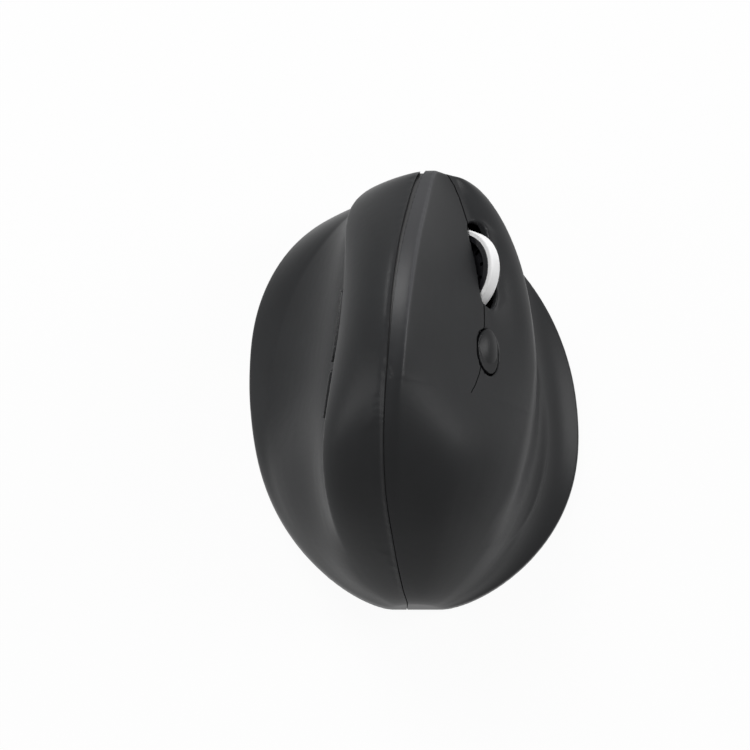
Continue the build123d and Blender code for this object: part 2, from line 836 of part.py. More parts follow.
# Small screws of the side board and the key frame
small_head_height = 1.0
side_screw_plane = Plane((side_board_x + side_board_wall, 0, 0), x_dir=(0, 1, 0), z_dir=(1, 0, 0))
side_shank = side_board_wall + 1.5 * side_post_radius
screw_set(side_screw_plane, side_post_spots, side_screw_radius, side_shank, 2 * side_screw_radius,
          small_head_height, "side_screws")
foot_top = Plane.XY.offset(base_top + base_wall)
screw_set(foot_top, frame_screw_spots, frame_screw_radius, base_wall + base_wall / 2, frame_screw_head_radius,
          frame_screw_head_height, "frame_screws")

# Battery bay in the base plate
bay_x = -17.0
bay_width = 15.6
bay_front = 21.0
bay_rear = -34.5
bay_wall = 1.5
bay_height = 11.0
bay_middle_y = (bay_front + bay_rear) / 2
bay_length = bay_front - bay_rear
door_gap = 0.3
door_barrel_radius = base_wall / 2
door_pin_radius = 0.5
door_pin_y = bay_front - door_gap - door_barrel_radius
door_pin_z = foot_height + door_barrel_radius
pin_plane = Plane((0, door_pin_y, door_pin_z), x_dir=(0, 1, 0), z_dir=(1, 0, 0))
door_catch = 1.0
door_grip_radius = 4.0

# Glide feet, main board and power switch
foot_thickness = 1.1
foot_corner = 2.4
foot_length = 22.0
foot_width = 5.0
foot_spots = (
    (-0.09, 0.8, foot_length, foot_width), (0.09, -0.8, foot_length, foot_width),
    (-0.8, 0.035, foot_width, foot_length), (0.85, -0.12, foot_width, foot_length),
)
main_board_x = 6.5
main_board_y = -19.0
main_board_width = 26.0
main_board_length = 30.0
main_board_wall = 1.2
main_board_lift = 2.2
main_board_low = base_top + main_board_lift
standoff_radius = 1.9
standoff_inset = 2.4
standoff_screw_radius = 0.8
standoff_spots = (
    (main_board_x - main_board_width / 2 + standoff_inset, main_board_y - main_board_length / 2 + standoff_inset),
    (main_board_x + main_board_width / 2 - standoff_inset, main_board_y + main_board_length / 2 - standoff_inset),
)
lens_x = 6.0
lens_y = -12.0
lens_length = 16.0
lens_width = 9.0
window_length = 7.0
window_width = 5.0
slider_x = 13.5
slider_y = -27.0
slider_travel = 3.0
slider_length = 4.0
slider_width = 3.0
slider_gap = 0.3
slider_low = foot_height + 0.3 * base_wall
power_switch_height = main_board_lift - door_gap / 2
slot_length = slider_length + slider_travel + 2 * slider_gap
slot_width = slider_width + 2 * slider_gap

base_form = body_form(cover_wall + base_gap, 2 * cover_wall)
base_screw_spots = [(x * body_width / 2, y * body_length / 2) for x, y in thumb_screw_shares + palm_screw_shares]
head_seat = foot_height + head_clearance / 2 + screw_head_height
with BuildPart() as base_plate:
    add(base_form)
    split(bisect_by=underside, keep=Keep.TOP)
    split(bisect_by=Plane.XY.offset(base_top), keep=Keep.BOTTOM)
    with BuildSketch(Plane.XY.offset(foot_height)):
        with Locations((bay_x, bay_middle_y)):
            RectangleRounded(bay_width + 2 * bay_wall, bay_length + 2 * bay_wall, bay_wall)
    extrude(amount=bay_height)
    with BuildSketch(Plane.XY.offset(base_top)):
        with Locations(*standoff_spots):
            Circle(standoff_radius)
    extrude(amount=main_board_lift)
    with BuildSketch(Plane.XY):
        with Locations((bay_x, bay_middle_y)):
            Rectangle(bay_width, bay_length)
        with Locations((lens_x, lens_y)):
            RectangleRounded(window_length, window_width, base_wall / 2)
        with Locations((slider_x, slider_y)):
            Rectangle(slot_length, slot_width)
    extrude(amount=body_height, mode=Mode.SUBTRACT)
    with BuildSketch(Plane.XY):
        with Locations(*base_screw_spots):
            Circle(screw_head_radius + head_clearance)
    extrude(amount=head_seat, mode=Mode.SUBTRACT)
    with BuildSketch(Plane.XY):
        with Locations(*base_screw_spots):
            Circle(screw_radius + head_clearance)
    extrude(amount=body_height, mode=Mode.SUBTRACT)
    with BuildSketch(Plane.XY.offset(base_top - base_wall / 2)):
        with Locations(*frame_screw_spots):
            Circle(frame_screw_radius)
        with Locations(*standoff_spots):
            Circle(standoff_screw_radius)
    extrude(amount=base_wall + main_board_lift, mode=Mode.SUBTRACT)
    with BuildSketch(Plane.XY):
        for x, y, length, width in foot_spots:
            with Locations((x * body_width / 2, y * body_length / 2)):
                RectangleRounded(length, width, foot_corner)
    extrude(amount=foot_thickness, mode=Mode.SUBTRACT)
    with BuildSketch(pin_plane.offset(bay_x - bay_width / 2 - bay_wall)):
        Circle(door_pin_radius)
    extrude(amount=bay_width + 2 * bay_wall, mode=Mode.SUBTRACT)
save(base_plate.part, "base_plate")

with BuildPart() as glide_feet:
    with BuildSketch(Plane.XY):
        for x, y, length, width in foot_spots:
            with Locations((x * body_width / 2, y * body_length / 2)):
                RectangleRounded(length, width, foot_corner)
    extrude(amount=foot_thickness)
save(glide_feet.part, "glide_feet")

screw_plane = Plane((0, 0, head_seat), x_dir=(1, 0, 0), z_dir=(0, 0, -1))
screw_set(screw_plane, [(x, -y) for x, y in base_screw_spots], screw_radius, screw_length,
          screw_head_radius, screw_head_height, "cover_screws")

# Battery door, turning on a pin in a barrel along its front edge
door_width = bay_width - 2 * door_gap
with BuildPart() as battery_door:
    with BuildSketch(Plane.XY.offset(foot_height)):
        with Locations((bay_x, (bay_rear + door_gap + door_pin_y) / 2)):
            Rectangle(door_width, door_pin_y - bay_rear - door_gap)
    extrude(amount=base_wall)
    with BuildSketch(pin_plane.offset(bay_x - door_width / 2)):
        Circle(door_barrel_radius)
    extrude(amount=door_width)
    with BuildSketch(Plane.XY.offset(foot_height)):
        with Locations((bay_x, bay_rear + 2 * door_grip_radius)):
            SlotOverall(2 * door_grip_radius, door_grip_radius / 2)
    extrude(amount=base_wall / 3, mode=Mode.SUBTRACT)
    with BuildSketch(pin_plane.offset(bay_x - door_width / 2)):
        Circle(door_pin_radius + running_gap)
    extrude(amount=door_width, mode=Mode.SUBTRACT)
save(battery_door.part, "battery_door")

with BuildPart() as door_pin:
    with BuildSketch(pin_plane.offset(bay_x - bay_width / 2 - bay_wall / 2)):
        Circle(door_pin_radius)
    extrude(amount=bay_width + bay_wall)
save(door_pin.part, "door_pin")

# Battery and its two contacts
cell_radius = 7.25
cell_length = 50.5
cell_nub_radius = 2.75
cell_nub_length = 1.0
contact_wall = 0.5
contact_size = 9.0
spring_radius = 2.8
spring_wire_radius = 0.35
cell_z = base_top + 2 * door_gap + cell_radius
cell_front = bay_front - contact_wall
cell_plane = Plane((bay_x, 0, cell_z), x_dir=(-1, 0, 0), z_dir=(0, 1, 0))
with BuildPart() as battery_cell:
    with BuildSketch(cell_plane.offset(cell_front - cell_length)):
        Circle(cell_radius)
    extrude(amount=cell_length - cell_nub_length)
    fillet(battery_cell.edges().filter_by(GeomType.CIRCLE), cell_nub_length / 2)
    with BuildSketch(cell_plane.offset(cell_front - 2 * cell_nub_length)):
        Circle(cell_nub_radius)
    extrude(amount=2 * cell_nub_length)
save(battery_cell.part, "battery_cell")

with BuildPart() as battery_plate:
    with BuildSketch(cell_plane.offset(cell_front)):
        Rectangle(contact_size, contact_size)
    extrude(amount=contact_wall)
save(battery_plate.part, "battery_plate")

spring_start = bay_rear + contact_wall + spring_wire_radius / 2
spring_end = cell_front - cell_length - spring_wire_radius
coil_pitch = (spring_end - spring_start) / 3
coil = cell_plane.offset(spring_start).location * Helix(coil_pitch, 3 * coil_pitch, spring_radius)
with BuildPart() as battery_spring:
    with BuildSketch(cell_plane.offset(bay_rear)):
        Rectangle(contact_size, contact_size)
    extrude(amount=contact_wall)
    with BuildSketch(Plane(coil @ 0, z_dir=coil % 0)):
        Circle(spring_wire_radius)
    sweep(path=coil, is_frenet=True)
save(battery_spring.part, "battery_spring")

# Main board with the parts that it carries
with BuildPart() as main_board:
    with BuildSketch(Plane.XY.offset(main_board_low)):
        with Locations((main_board_x, main_board_y)):
            Rectangle(main_board_width, main_board_length)
        with Locations((lens_x, lens_y)):
            Rectangle(window_length, window_width, mode=Mode.SUBTRACT)
        with Locations(*standoff_spots):
            Circle(standoff_screw_radius, mode=Mode.SUBTRACT)
    extrude(amount=main_board_wall)
save(main_board.part, "main_board")

board_screw_length = main_board_wall + main_board_lift + base_wall / 2
screw_set(Plane.XY.offset(main_board_low + main_board_wall), standoff_spots, standoff_screw_radius,
          board_screw_length, 2 * standoff_screw_radius, small_head_height, "board_screws")

lens_dome_radius = 1.8
with BuildPart() as sensor_lens:
    with BuildSketch(Plane.XY.offset(base_top)):
        with Locations((lens_x, lens_y)):
            RectangleRounded(lens_length, lens_width, base_wall / 2)
    extrude(amount=main_board_lift)
    with BuildSketch(Plane.XY.offset(base_top)):
        with Locations((lens_x, lens_y)):
            Circle(lens_dome_radius)
    extrude(amount=-base_wall / 2)
save(sensor_lens.part, "sensor_lens")

sensor_length = 12.0
sensor_width = 9.6
sensor_height = 3.2
chip_x = 14.0
chip_y = -24.0
chip_size = 7.0
chip_height = 1.0
board_top = main_board_low + main_board_wall
for label, spot, length, width, height in (
    ("sensor_chip", (lens_x, lens_y), sensor_length, sensor_width, sensor_height),
    ("controller_chip", (chip_x, chip_y), chip_size, chip_size, chip_height),
):
    with BuildPart() as chip:
        with BuildSketch(Plane.XY.offset(board_top)):
            with Locations(spot):
                Rectangle(length, width)
        extrude(amount=height)
        chamfer(chip.faces().sort_by(Axis.Z)[-1].edges(), chip_height / 5)
    save(chip.part, label)

power_switch_wall = 0.8
with BuildPart() as power_switch:
    with BuildSketch(Plane.XY.offset(main_board_low)):
        with Locations((slider_x, slider_y)):
            Rectangle(slot_length + 2 * power_switch_wall, slot_width + 2 * power_switch_wall)
    extrude(amount=-power_switch_height)
    with BuildSketch(Plane.XY):
        with Locations((slider_x, slider_y)):
            Rectangle(slot_length, slot_width)
    extrude(amount=main_board_low - power_switch_wall, mode=Mode.SUBTRACT)
save(power_switch.part, "power_switch")

with BuildPart() as power_slider:
    with BuildSketch(Plane.XY.offset(slider_low)):
        with Locations((slider_x - slider_travel / 2, slider_y)):
            Rectangle(slider_length, slider_width)
    extrude(amount=main_board_low - power_switch_wall - slider_gap - slider_low)
save(power_slider.part, "power_slider")

# Flat cables between the boards, each a ribbon bent down to the main board
cable_width = 5.0
cable_wall = 0.35
cable_bend = 2.0


def flat_cable(spots, width_dir, label):
    """Ribbon of the cable's width along straight runs with rounded bends."""
    with BuildPart() as cable:
        with BuildLine() as route:
            FilletPolyline(*spots, radius=cable_bend)
        start = Plane(route.line @ 0, x_dir=width_dir, z_dir=route.line % 0)
        with BuildSketch(start):
            Rectangle(cable_width, cable_wall)
        sweep()
    save(cable.part, label)


board_end = board_plane.offset(-board_wall / 2).from_local_coords((board_rear - 2 * cable_wall, notch_half, 0))
key_cable_x = board_end.X
key_cable_y = board_end.Y - 2 * cable_bend
main_board_top = Vector(0, 0, board_top)
key_cable_spots = (
    board_end,
    Vector(key_cable_x, key_cable_y, board_end.Z),
    Vector(key_cable_x, key_cable_y, board_top),
)
flat_cable(key_cable_spots, (1, 0, 0), "key_cable")
side_cable_x = main_board_x - main_board_width / 2 + cable_bend
side_cable_y = main_board_y + main_board_length / 2 - cable_width
side_cable_z = side_board_low + cable_width / 2
side_cable_spots = (
    Vector(side_board_x + side_board_wall, side_cable_y, side_cable_z),
    Vector(side_cable_x, side_cable_y, side_cable_z),
    Vector(side_cable_x, side_cable_y, board_top),
)
flat_cable(side_cable_spots, (0, 1, 0), "side_cable")
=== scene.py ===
import json
import math
import bmesh
import bpy
from mathutils import Matrix, Vector


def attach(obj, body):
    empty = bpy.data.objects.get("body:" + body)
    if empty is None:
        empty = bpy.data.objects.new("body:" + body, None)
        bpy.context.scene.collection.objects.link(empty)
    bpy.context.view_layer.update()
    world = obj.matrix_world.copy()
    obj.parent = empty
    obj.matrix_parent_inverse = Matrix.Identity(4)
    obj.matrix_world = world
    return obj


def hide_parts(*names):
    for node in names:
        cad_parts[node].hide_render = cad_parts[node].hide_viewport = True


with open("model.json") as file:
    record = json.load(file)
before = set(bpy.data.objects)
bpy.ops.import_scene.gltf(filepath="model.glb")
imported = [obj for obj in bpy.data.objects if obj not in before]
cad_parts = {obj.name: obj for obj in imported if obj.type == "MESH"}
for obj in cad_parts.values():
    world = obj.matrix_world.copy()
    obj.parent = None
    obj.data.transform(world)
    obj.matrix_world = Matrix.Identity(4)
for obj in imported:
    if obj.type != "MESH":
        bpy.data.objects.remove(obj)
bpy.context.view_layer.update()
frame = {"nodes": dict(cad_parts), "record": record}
mm = 0.001
print("frame loaded")

# Camera, set to the photographed angle
camera = {
    "elevation": 78.0,
    "distance": 1.6,
    "frameWidth": 0.2016,
    "target": (-0.0106, 0.0021, 0.030),
    "sensor": 36.0,
    "nearest": 0.05,
    "farthest": 20.0,
}


def addCamera():
    data = bpy.data.cameras.new("camera")
    data.sensor_width = camera["sensor"]
    data.lens = camera["sensor"] * camera["distance"] / camera["frameWidth"]
    data.clip_start = camera["nearest"]
    data.clip_end = camera["farthest"]
    obj = bpy.data.objects.new("camera", data)
    bpy.context.scene.collection.objects.link(obj)
    tilt = math.radians(camera["elevation"])
    away = Vector((0.0, -math.cos(tilt), math.sin(tilt)))
    obj.location = Vector(camera["target"]) + away * camera["distance"]
    obj.rotation_euler = (math.radians(90.0 - camera["elevation"]), 0.0, 0.0)
    bpy.context.scene.camera = obj


addCamera()

# Soft studio light: large panels round the object, over a plain world
studio = {
    "world": 0.14,
    "panels": (
        {"name": "panelTop", "place": (-0.35, 0.85, 0.75), "aim": 0.02, "size": (0.5, 0.5), "power": 9.0},
        {"name": "panelLeft", "place": (-1.0, 0.0, 0.5), "aim": 0.03, "size": (0.3, 0.8), "power": 2.6},
        {"name": "panelRight", "place": (0.95, 0.25, 0.6), "aim": 0.03, "size": (0.35, 0.8), "power": 6.0},
    ),
}


def addPanel(panel):
    data = bpy.data.lights.new(panel["name"], "AREA")
    data.shape = "RECTANGLE"
    data.size, data.size_y = panel["size"]
    data.energy = panel["power"]
    obj = bpy.data.objects.new(panel["name"], data)
    bpy.context.scene.collection.objects.link(obj)
    obj.location = panel["place"]
    look = Vector((0.0, 0.0, panel["aim"])) - Vector(panel["place"])
    obj.rotation_euler = look.to_track_quat("-Z", "Y").to_euler()


for panel in studio["panels"]:
    addPanel(panel)


def whiteRays(tree, path):
    seen = path.outputs["Is Camera Ray"]
    for ray in ("Is Glossy Ray", "Is Transmission Ray"):
        either = tree.nodes.new("ShaderNodeMath")
        either.operation = "MAXIMUM"
        tree.links.new(seen, either.inputs[0])
        tree.links.new(path.outputs[ray], either.inputs[1])
        seen = either.outputs[0]
    return seen


def addWorld():
    # white to the camera, to gloss and to glass, a plain level for the light
    world = bpy.data.worlds.new("studioWorld")
    bpy.context.scene.world = world
    world.use_nodes = True
    tree = world.node_tree
    tree.nodes.clear()
    out = tree.nodes.new("ShaderNodeOutputWorld")
    level = tree.nodes.new("ShaderNodeBackground")
    level.inputs["Color"].default_value = (1.0, 1.0, 1.0, 1.0)
    level.inputs["Strength"].default_value = studio["world"]
    white = tree.nodes.new("ShaderNodeBackground")
    white.inputs["Color"].default_value = (1.0, 1.0, 1.0, 1.0)
    white.inputs["Strength"].default_value = 1.0
    path = tree.nodes.new("ShaderNodeLightPath")
    mix = tree.nodes.new("ShaderNodeMixShader")
    tree.links.new(whiteRays(tree, path), mix.inputs["Fac"])
    tree.links.new(level.outputs[0], mix.inputs[1])
    tree.links.new(white.outputs[0], mix.inputs[2])
    tree.links.new(mix.outputs[0], out.inputs["Surface"])


addWorld()
bpy.context.scene.view_settings.view_transform = "Standard"
print("studio set")

# Plastics, rubber and metals
plain = {"mottle": 0.08, "rough": 0.45, "grain": 1500.0, "bump": 0.01, "coat": 0.0, "metal": 0.0, "shine": 0.5}
finishes = {
    # shell and button carry the gain of the painted highlight on the strip beside the groove
    "shell": {"colour": (0.0150, 0.0156, 0.0168), "rough": 0.36, "grain": 2600.0, "shine": 0.16, "paintedHighlight": 0.05},
    "button": {"colour": (0.0105, 0.0110, 0.0120), "mottle": 0.06, "rough": 0.34, "grain": 2600.0, "shine": 0.16,
               "paintedHighlight": 0.05},
    "gloss": {"colour": (0.012, 0.012, 0.014), "mottle": 0.05, "rough": 0.2, "grain": 900.0, "bump": 0.0004,
              "coat": 0.2},
    "tread": {"colour": (0.95, 0.95, 0.95), "mottle": 0.02, "rough": 0.55, "grain": 1800.0},
    "base": {"colour": (0.028, 0.029, 0.032), "mottle": 0.10, "rough": 0.5, "bump": 0.02},
    "pale": {"colour": (0.62, 0.61, 0.58), "mottle": 0.04},
    "glide": {"colour": (0.05, 0.05, 0.052), "mottle": 0.12, "rough": 0.3, "grain": 500.0, "bump": 0.006},
    "board": {"colour": (0.012, 0.10, 0.045), "mottle": 0.35, "rough": 0.3, "grain": 350.0, "coat": 0.3},
    "chip": {"colour": (0.02, 0.02, 0.021), "grain": 1600.0},
    "cell": {"colour": (0.10, 0.13, 0.16), "mottle": 0.05, "rough": 0.28, "grain": 300.0, "bump": 0.003, "coat": 0.3},
    "steel": {"colour": (0.55, 0.55, 0.56), "mottle": 0.10, "rough": 0.3, "grain": 1200.0, "bump": 0.006,
              "metal": 1.0},
    "lens": {"colour": (0.75, 0.78, 0.78), "mottle": 0.02, "rough": 0.08, "grain": 300.0, "bump": 0.001},
}
finishNodes = {"grainDetail": 3.0, "cloudDetail": 4.0, "cloudShare": 1 / 30, "low": 0.3, "high": 0.7,
               "roughSpread": 0.1, "coatRough": 0.15}

coolShare = 1.05  # the painted highlight is slightly cool


def addPaintedHighlight(tree, colour, gain):
    # painted highlight: the strip beside the groove and its crease are painted lighter where light falls on them
    mark = tree.nodes.new("ShaderNodeAttribute")
    mark.attribute_name = "paintedHighlight"
    lift = tree.nodes.new("ShaderNodeMix")
    lift.data_type = "RGBA"
    lift.inputs["B"].default_value = (gain, gain, gain * coolShare, 1.0)
    lift.blend_type = "ADD"
    tree.links.new(mark.outputs["Fac"], lift.inputs["Factor"])
    tree.links.new(colour, lift.inputs["A"])
    return lift.outputs["Result"]


def noiseOver(tree, place, scale, detail):
    noise = tree.nodes.new("ShaderNodeTexNoise")
    noise.inputs["Scale"].default_value = scale
    noise.inputs["Detail"].default_value = detail
    tree.links.new(place.outputs["Object"], noise.inputs["Vector"])
    return noise


def addFinish(name, values):
    values = {**plain, **values}
    material = bpy.data.materials.new(name)
    material.use_nodes = True
    tree = material.node_tree
    shader = tree.nodes["Principled BSDF"]
    place = tree.nodes.new("ShaderNodeTexCoord")
    grain = noiseOver(tree, place, values["grain"], finishNodes["grainDetail"])
    cloud = noiseOver(tree, place, values["grain"] * finishNodes["cloudShare"], finishNodes["cloudDetail"])
    ramp = tree.nodes.new("ShaderNodeValToRGB")
    shades = (1.0 - values["mottle"], 1.0 + values["mottle"])
    for stop, level, spot in zip(ramp.color_ramp.elements, shades, (finishNodes["low"], finishNodes["high"])):
        stop.position = spot
        stop.color = tuple(min(1.0, c * level) for c in values["colour"]) + (1.0,)
    tree.links.new(cloud.outputs["Fac"], ramp.inputs["Fac"])
    colour = ramp.outputs["Color"]
    # painted highlight on the strip beside the groove, added to the base colour
    if "paintedHighlight" in values:
        colour = addPaintedHighlight(tree, colour, values["paintedHighlight"])
    tree.links.new(colour, shader.inputs["Base Color"])
    rough = tree.nodes.new("ShaderNodeMapRange")
    rough.inputs["To Min"].default_value = values["rough"] * (1.0 - finishNodes["roughSpread"])
    rough.inputs["To Max"].default_value = values["rough"] * (1.0 + finishNodes["roughSpread"])
    tree.links.new(grain.outputs["Fac"], rough.inputs["Value"])
    tree.links.new(rough.outputs["Result"], shader.inputs["Roughness"])
    bump = tree.nodes.new("ShaderNodeBump")
    bump.inputs["Distance"].default_value = values["bump"] * mm
    bump.inputs["Strength"].default_value = 1.0
    tree.links.new(grain.outputs["Fac"], bump.inputs["Height"])
    tree.links.new(bump.outputs["Normal"], shader.inputs["Normal"])
    shader.inputs["Metallic"].default_value = values["metal"]
    shader.inputs["Specular IOR Level"].default_value = values["shine"]
    shader.inputs["Coat Weight"].default_value = values["coat"]
    shader.inputs["Coat Roughness"].default_value = finishNodes["coatRough"]
    return material


finish = {name: addFinish(name, values) for name, values in finishes.items()}
slotFinish = {
    "shell_plastic": "shell", "button_plastic": "button", "white_rubber": "tread", "hub_plastic": "gloss",
    "inner_plastic": "base", "light_plastic": "pale", "glide_plastic": "glide", "cell_skin": "cell",
    "board_green": "board", "chip_black": "chip", "lens_plastic": "lens", "steel": "steel",
}
slotOf = {part["node"]: part["material_slot"] for part in frame["record"]["subparts"]}
bodyOf = {node: body for body, nodes in frame["record"]["behaviour"]["bodies"].items() for node in nodes}


def paint(obj, name):
    obj.data.materials.clear()
    obj.data.materials.append(finish[name])


for name, node in frame["nodes"].items():
    if node.material_slots:
        node.material_slots[0].material = finish[slotFinish[slotOf[name]]]
    else:
        node.data.materials.append(finish[slotFinish[slotOf[name]]])
print("finishes made")

# Moulded pieces: softened copies of the solids, because a moulding has no sharp edge
mouldings = {
    "speed_button": {"voxel": 0.18, "smooth": 6},
    "forward_button": {"voxel": 0.2, "smooth": 6},
    "back_button": {"voxel": 0.2, "smooth": 6},
}
softening = {"joinWithin": 0.000002, "share": 0.5, "sharpAngle": 38.0}


# the node's form with its loose triangles joined
def nodeCopy(nodeName):
    form = bmesh.new()
    form.from_mesh(frame["nodes"][nodeName].data)
    bmesh.ops.remove_doubles(form, verts=form.verts, dist=softening["joinWithin"])
    return form


def placeMesh(form, name):
    data = bpy.data.meshes.new(name)
    form.to_mesh(data)
    form.free()
    obj = bpy.data.objects.new(name, data)
    bpy.context.scene.collection.objects.link(obj)
    return obj


def soften(obj, voxel, passes):
    remesh = obj.modifiers.new("remesh", "REMESH")
    remesh.mode = "VOXEL"
    remesh.voxel_size = voxel * mm
    remesh.use_smooth_shade = True
    smooth = obj.modifiers.new("smooth", "SMOOTH")
    smooth.factor = softening["share"]
    smooth.iterations = passes


def shade(data):
    data.shade_smooth()
    data.set_sharp_from_angle(angle=math.radians(softening["sharpAngle"]))


# the piece with its modifiers becomes a plain mesh
def settle(obj):
    depsgraph = bpy.context.evaluated_depsgraph_get()
    data = bpy.data.meshes.new_from_object(obj.evaluated_get(depsgraph))
    obj.modifiers.clear()
    obj.data = data
    shade(data)


def standFor(obj, nodeName):
    paint(obj, slotFinish[slotOf[nodeName]])
    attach(obj, bodyOf[nodeName])
    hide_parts(nodeName)


# crown of the oval button: its top rises towards the middle
def raiseDome(obj):
    normal = Vector(dome["out"])
    tall = max(vert.co.dot(normal) for vert in obj.data.vertices)
    top = [vert for vert in obj.data.vertices if vert.co.dot(normal) > tall - dome["band"] * mm]
    middle = sum((vert.co for vert in top), Vector()) / len(top)
    long = Vector(dome["long"])
    wide = normal.cross(long)
    for vert in obj.data.vertices:
        if vert.co.dot(normal) > tall - 2.0 * dome["band"] * mm:
            away = (vert.co - middle) / mm
            share = (away.dot(long) / dome["halfLong"]) ** 2 + (away.dot(wide) / dome["halfWide"]) ** 2
            vert.co += normal * mm * (dome["rise"] * max(1.0 - share, 0.0) - dome["edge"] * min(share, 1.0))


dome = {
    "out": (0.753087, 0.250726, 0.608274),
    "long": (-0.15944, 0.966529, -0.200998),
    "band": 0.9,
    "halfLong": 6.1,
    "halfWide": 4.0,
    "rise": 0.7,
    "edge": 0.35,
}

for nodeName, values in mouldings.items():
    piece = placeMesh(nodeCopy(nodeName), nodeName + "_form")
    soften(piece, values["voxel"], values["smooth"])
    settle(piece)
    if nodeName == "speed_button":
        raiseDome(piece)
    standFor(piece, nodeName)
print("buttons softened")

# Housing: both covers and the two keys look like one moulding. They are fused, softened and cut apart again.
# Places are in millimetres; those of the keys lie on the slope under the fingers: forward, then up the slope
housing = {
    "voxel": 0.46,
    "smooth": 4,
    "place": (0.0190238, 0.0319632, 0.0334484),
    "forward": (-0.15944, 0.966529, -0.200998),
    "up": (-0.63831, 0.054386, 0.767856),
    "depth": 9.5,
    "reach": 34.0,
    "lap": 0.3,
    "rearFacing": 0.99,
    "rearPast": -30.0,
    "tuckFacing": 0.97,
    "tuckLean": 0.03,
    "tuckPast": -12.0,
    "ridgeSide": 65.0,
    "seamGap": ((34.85, 0.30), (5.0, 0.24), (-38.96, 0.16)),
    "seam": ((34.85, 8.18), (31.71, 9.8), (28.23, 9.8), (25.4, 7.71), (22.87, 5.24), (19.62, 3.87), (16.11, 3.37),
             (12.58, 3.07), (9.05, 2.75), (5.51, 2.47), (1.97, 2.26), (-1.58, 2.19), (-5.12, 2.26), (-8.67, 2.45),
             (-12.2, 2.74), (-15.73, 3.1), (-19.25, 3.51), (-22.77, 3.99), (-26.25, 4.63), (-29.68, 5.53),
             (-33.0, 6.79), (-36.11, 8.48), (-38.96, 10.6)),
    "tuck": ((34.85, -2.53), (23.37, -7.71), (14.7, -12.32), (0.19, -16.38), (-17.4, -19.7), (-38.96, -20.04)),
    "slotRadius": 3.6,
    "slotHalf": 9.4,
    "slotSquash": 0.5,
    "slotNear": 0.08,
    "slotLow": -12.0,
}
# Groove between the covers: its line from tail to nose, and its width
groove = {
    "line": ((-57.0, -1.8), (-54.5, -3.1), (-46.4, -5.4), (-33.8, -7.8), (-17.8, -8.3), (-0.2, -7.3), (17.5, -5.9),
             (33.4, -3.8), (46.1, -1.2), (54.2, 1.0), (57.0, 2.4)),
    "height": ((-57.0, 10.2), (-54.5, 19.1), (-46.4, 34.7), (-33.8, 50.9), (-17.8, 61.4), (-0.2, 64.4), (17.5, 61.7),
               (33.4, 54.6), (46.1, 45.8), (54.2, 39.6), (57.0, 36.2)),
    "width": ((-57.0, 0.26), (-20.0, 0.26), (0.0, 0.42), (20.0, 0.85), (57.0, 1.45)),
    "lap": 0.5,
    "near": 1.3,
    "wallLean": 0.02,
    "wallFacing": 0.8,
    "tongueFrom": -50.0,
    "tongueTo": 56.5,
    "tongueDepth": 1.2,
    "tongueHeight": 1.0,
    "tongueRoot": 0.5,
    "tongueClear": 0.1,
    "noseFrom": 50.0,
    "noseLow": 8.0,
    "steps": 120,
    "reach": 62.0,
    "side": 90.0,
    "low": -5.0,
    "high": 85.0,
}
# crease of the strip beside the groove and the painted highlight on it: painted lightening over the strip (level) and
# a painted bright line along the crease (line, lineWidth), both nothing behind the middle
strip = {
    "crease": ((-57.0, -0.1), (-54.5, -1.1), (-46.4, -2.7), (-33.8, -3.9), (-17.8, -4.0), (-0.2, -2.9), (17.5, -1.2),
               (33.4, 1.0), (46.1, 3.4), (54.2, 5.1), (57.0, 6.2)),
    "level": ((-6.0, 0.0), (12.0, 0.25), (30.0, 0.5), (57.0, 0.7)),
    "line": ((-6.0, 0.0), (5.0, 0.5), (20.0, 1.4), (40.0, 1.4), (52.0, 0.8)),
    "lineWidth": 0.42,
    "grooveFade": 0.4,
    "creaseFade": 0.5,
    "facingUp": 0.1,
}
slopeForward = Vector(housing["forward"])
slopeUp = Vector(housing["up"])
slopeOut = slopeForward.cross(slopeUp)
slope = Matrix((slopeForward, slopeUp, slopeOut)).transposed().to_4x4()
slope.translation = Vector(housing["place"])
offSlope = slope.inverted()


# value at a place along a row of points, on a smooth curve through them
def along(points, at):
    if at <= points[0][0]:
        return points[0][1]
    if at >= points[-1][0]:
        return points[-1][1]
    k = next(index for index in range(1, len(points)) if at <= points[index][0])
    x0, y0 = points[k - 1]
    x1, y1 = points[k]
    before = points[max(k - 2, 0)]
    after = points[min(k + 1, len(points) - 1)]
    part = (at - x0) / (x1 - x0)
    slopeIn = (y1 - before[1]) / (x1 - before[0]) * (x1 - x0)
    slopeAway = (after[1] - y0) / (after[0] - x0) * (x1 - x0)
    square = part * part
    cube = square * part
    return (y0 * (2 * cube - 3 * square + 1) + slopeIn * (cube - 2 * square + part)
            + y1 * (3 * square - 2 * cube) + slopeAway * (cube - square))


def between(points, at):
    points = sorted(points)
    if at <= points[0][0]:
        return points[0][1]
    for (x0, y0), (x1, y1) in zip(points, points[1:]):
        if at <= x1:
            return y0 + (y1 - y0) * (at - x0) / (x1 - x0)
    return points[-1][1]


# the key's hinge faces go a little way into the palm, so that the two fuse
def lapOnPalm(form, isRight):
    moves = {}
    for face in form.faces:
        spot = offSlope @ face.calc_center_median() / mm
        rear = -face.normal.dot(slopeForward) > housing["rearFacing"] and spot.x < housing["rearPast"]
        upright = abs(face.normal.dot(slopeOut)) < housing["tuckLean"]
        tucked = -face.normal.dot(slopeUp) > housing["tuckFacing"] and spot.x < housing["tuckPast"]
        ways = [slopeForward] * rear + [slopeUp] * (isRight and upright and tucked)
        for way in ways:
            for vert in face.verts:
                moves[vert] = moves.get(vert, Vector()) - way
    for vert, way in moves.items():
        vert.co += way.normalized() * housing["lap"] * mm


# walls of the groove go past its middle, so that the two covers fuse
def lapOnGroove(form):
    walls = set()
    for face in form.faces:
        middle = face.calc_center_median() / mm
        near = abs(middle.x - along(groove["line"], middle.y)) < groove["near"]
        if near and abs(face.normal.z) < groove["wallLean"] and abs(face.normal.x) > groove["wallFacing"]:
            walls.update((vert, math.copysign(1.0, face.normal.x)) for vert in face.verts)
    for vert, side in walls:
        vert.co.x = (along(groove["line"], vert.co.y / mm) + side * groove["lap"]) * mm


